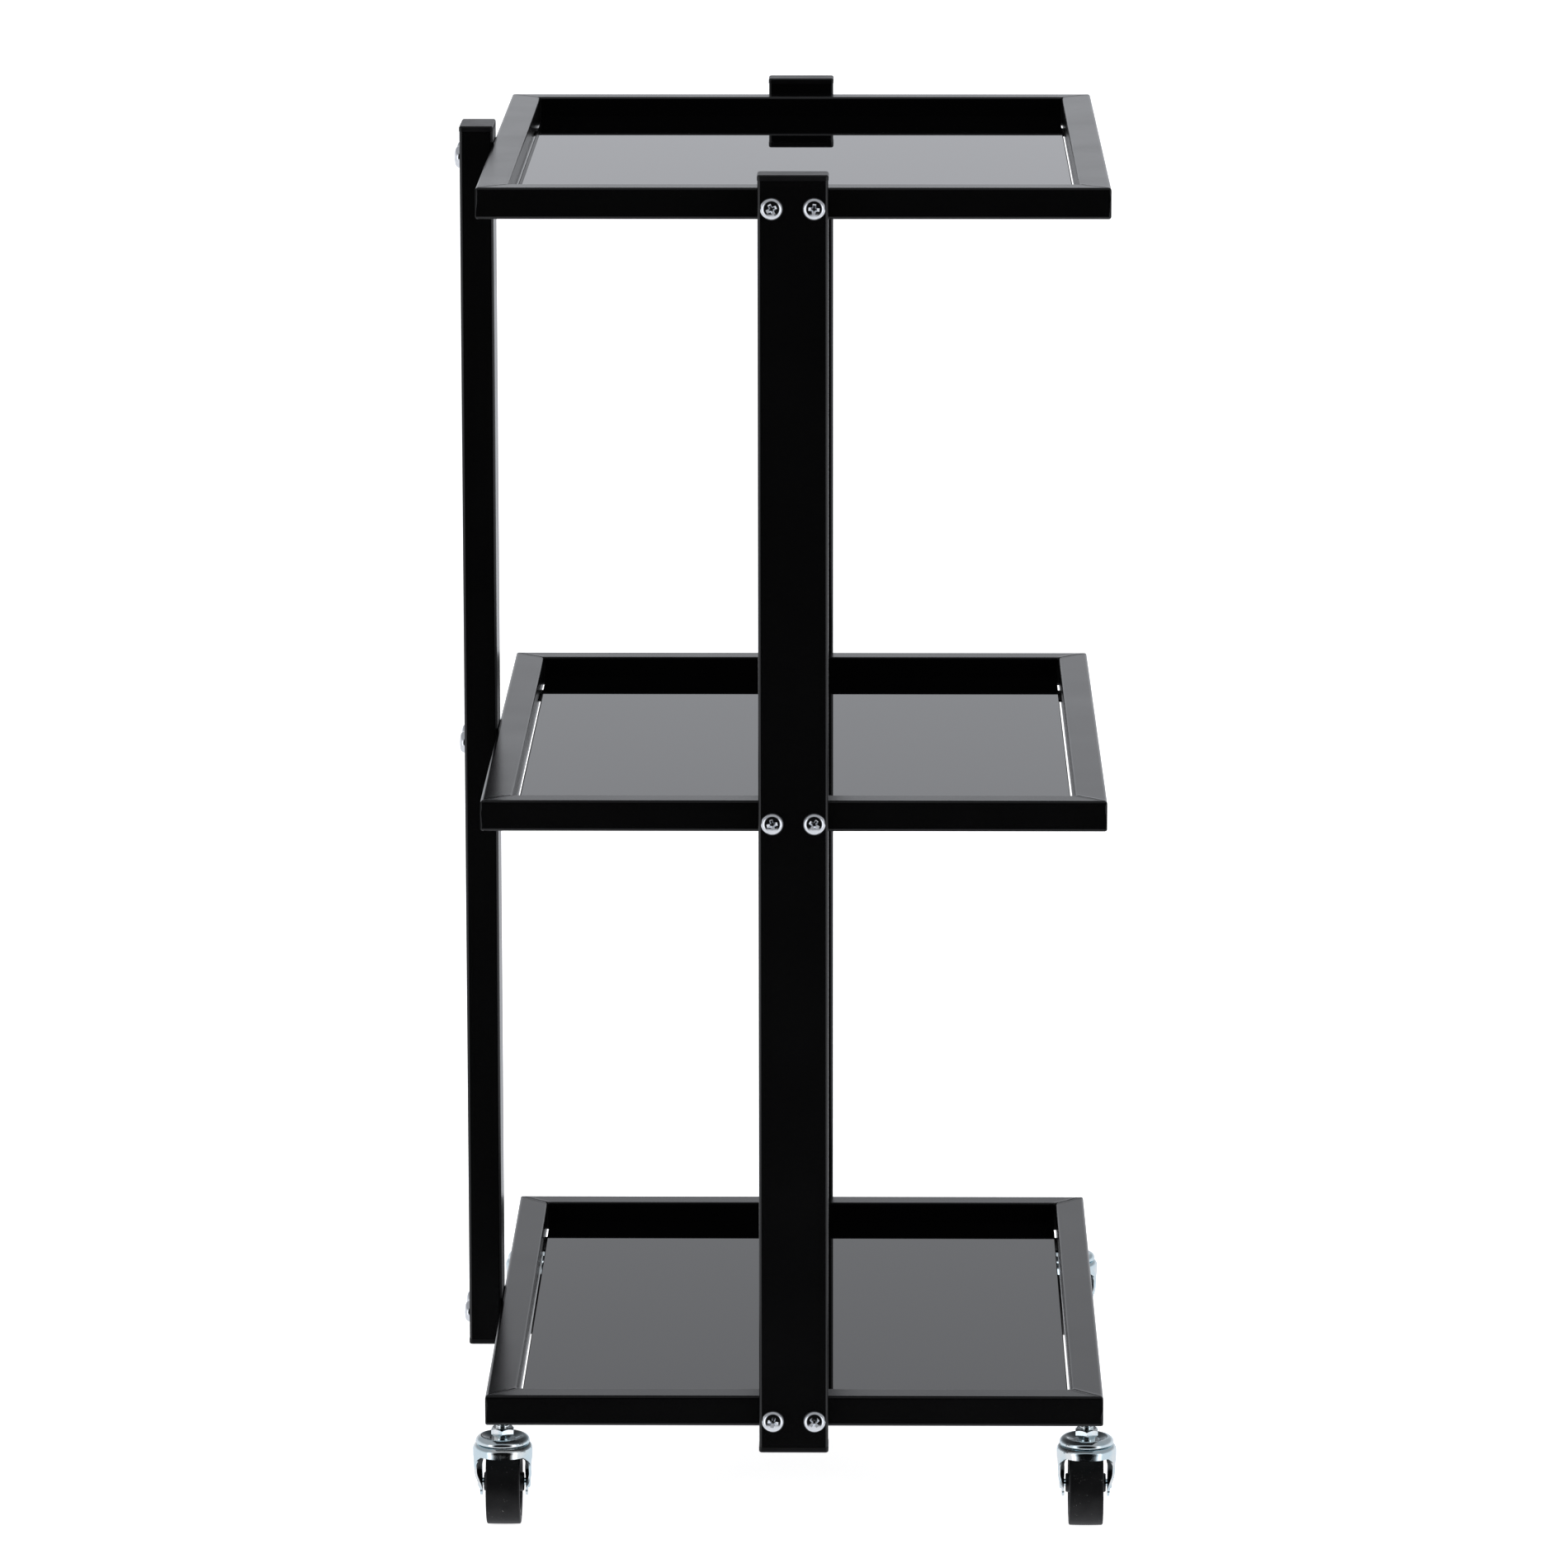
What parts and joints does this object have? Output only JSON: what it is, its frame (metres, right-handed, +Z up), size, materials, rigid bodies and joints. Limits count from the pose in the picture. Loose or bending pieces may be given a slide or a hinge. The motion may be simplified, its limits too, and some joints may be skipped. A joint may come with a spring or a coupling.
{
  "type": "spa trolley cart",
  "caption": "Rolling spa trolley: recessed black glass shelves in square-tube trays, bolted to flat uprights with one open side, on swivel casters.",
  "frame": {"origin": "on the floor, at the centre of the whole trolley's box", "axes": "+Z up; -Y towards the user at the front upright; +X towards the open side"},
  "size_m": [0.3916, 0.5262, 0.8044],
  "materials": {
    "black_powder_coat": "satin black powder coat",
    "black_glass": "polished, opaque black",
    "clear_pads": "soft, translucent grey",
    "cap_plastic": "fine grained",
    "bright_screws": "bright zinc",
    "zinc_steel": "blue-white zinc plate",
    "wheel_plastic": "moulded",
    "tyre_rubber": "dull"
  },
  "bodies": {
    "frame": {"bottom_shelf_front_rail": "black_powder_coat", "bottom_shelf_rear_rail": "black_powder_coat", "bottom_shelf_left_rail": "black_powder_coat", "bottom_shelf_right_rail": "black_powder_coat", "bottom_shelf_glass_tabs": "black_powder_coat", "middle_shelf_front_rail": "black_powder_coat", "middle_shelf_rear_rail": "black_powder_coat", "middle_shelf_left_rail": "black_powder_coat", "middle_shelf_right_rail": "black_powder_coat", "middle_shelf_glass_tabs": "black_powder_coat", "top_shelf_front_rail": "black_powder_coat", "top_shelf_rear_rail": "black_powder_coat", "top_shelf_left_rail": "black_powder_coat", "top_shelf_right_rail": "black_powder_coat", "top_shelf_glass_tabs": "black_powder_coat", "glass_pads": "clear_pads", "front_upright": "black_powder_coat", "front_upright_screws": "bright_screws", "front_upright_top_cap": "cap_plastic", "front_upright_bottom_cap": "cap_plastic", "rear_upright": "black_powder_coat", "rear_upright_screws": "bright_screws", "rear_upright_top_cap": "cap_plastic", "rear_upright_bottom_cap": "cap_plastic", "left_upright": "black_powder_coat", "left_upright_screws": "bright_screws", "left_upright_top_cap": "cap_plastic", "left_upright_bottom_cap": "cap_plastic", "rivet_nuts": "zinc_steel", "caster_sockets": "zinc_steel", "caster_bearing_balls": "bright_screws", "front_left_caster_stem": "zinc_steel", "front_left_caster_top_plate": "zinc_steel", "front_right_caster_stem": "zinc_steel", "front_right_caster_top_plate": "zinc_steel", "rear_left_caster_stem": "zinc_steel", "rear_left_caster_top_plate": "zinc_steel", "rear_right_caster_stem": "zinc_steel", "rear_right_caster_top_plate": "zinc_steel"},
    "bottom_shelf_glass": {"bottom_shelf_glass": "black_glass"},
    "middle_shelf_glass": {"middle_shelf_glass": "black_glass"},
    "top_shelf_glass": {"top_shelf_glass": "black_glass"},
    "front_left_caster_fork": {"front_left_caster_fork": "zinc_steel", "front_left_caster_axle": "zinc_steel"},
    "front_left_caster_wheel": {"front_left_caster_hub": "wheel_plastic", "front_left_caster_tyre": "tyre_rubber"},
    "front_right_caster_fork": {"front_right_caster_fork": "zinc_steel", "front_right_caster_axle": "zinc_steel"},
    "front_right_caster_wheel": {"front_right_caster_hub": "wheel_plastic", "front_right_caster_tyre": "tyre_rubber"},
    "rear_left_caster_fork": {"rear_left_caster_fork": "zinc_steel", "rear_left_caster_axle": "zinc_steel"},
    "rear_left_caster_wheel": {"rear_left_caster_hub": "wheel_plastic", "rear_left_caster_tyre": "tyre_rubber"},
    "rear_right_caster_fork": {"rear_right_caster_fork": "zinc_steel", "rear_right_caster_axle": "zinc_steel"},
    "rear_right_caster_wheel": {"rear_right_caster_hub": "wheel_plastic", "rear_right_caster_tyre": "tyre_rubber"}
  },
  "joints": [
    {"name": "bottom_shelf_glass_lift", "type": "slide", "parent": "frame", "child": "bottom_shelf_glass", "axis": [0, 0, 1], "range_m": [0, 0.06]},
    {"name": "middle_shelf_glass_lift", "type": "slide", "parent": "frame", "child": "middle_shelf_glass", "axis": [0, 0, 1], "range_m": [0, 0.06]},
    {"name": "top_shelf_glass_lift", "type": "slide", "parent": "frame", "child": "top_shelf_glass", "axis": [0, 0, 1], "range_m": [0, 0.06]},
    {"name": "front_left_caster_swivel", "type": "hinge", "parent": "frame", "child": "front_left_caster_fork", "pos_m": [-0.16365, -0.215, 0.055], "axis": [0, 0, 1], "continuous": true},
    {"name": "front_left_caster_roll", "type": "hinge", "parent": "front_left_caster_fork", "child": "front_left_caster_wheel", "pos_m": [-0.16365, -0.2, 0.025], "axis": [1, 0, 0], "continuous": true},
    {"name": "front_right_caster_swivel", "type": "hinge", "parent": "frame", "child": "front_right_caster_fork", "pos_m": [0.17835, -0.215, 0.055], "axis": [0, 0, 1], "continuous": true},
    {"name": "front_right_caster_roll", "type": "hinge", "parent": "front_right_caster_fork", "child": "front_right_caster_wheel", "pos_m": [0.17835, -0.2, 0.025], "axis": [1, 0, 0], "continuous": true},
    {"name": "rear_left_caster_swivel", "type": "hinge", "parent": "frame", "child": "rear_left_caster_fork", "pos_m": [-0.16365, 0.215, 0.055], "axis": [0, 0, 1], "continuous": true},
    {"name": "rear_left_caster_roll", "type": "hinge", "parent": "rear_left_caster_fork", "child": "rear_left_caster_wheel", "pos_m": [-0.16365, 0.23, 0.025], "axis": [1, 0, 0], "continuous": true},
    {"name": "rear_right_caster_swivel", "type": "hinge", "parent": "frame", "child": "rear_right_caster_fork", "pos_m": [0.17835, 0.215, 0.055], "axis": [0, 0, 1], "continuous": true},
    {"name": "rear_right_caster_roll", "type": "hinge", "parent": "rear_right_caster_fork", "child": "rear_right_caster_wheel", "pos_m": [0.17835, 0.23, 0.025], "axis": [1, 0, 0], "continuous": true}
  ]
}
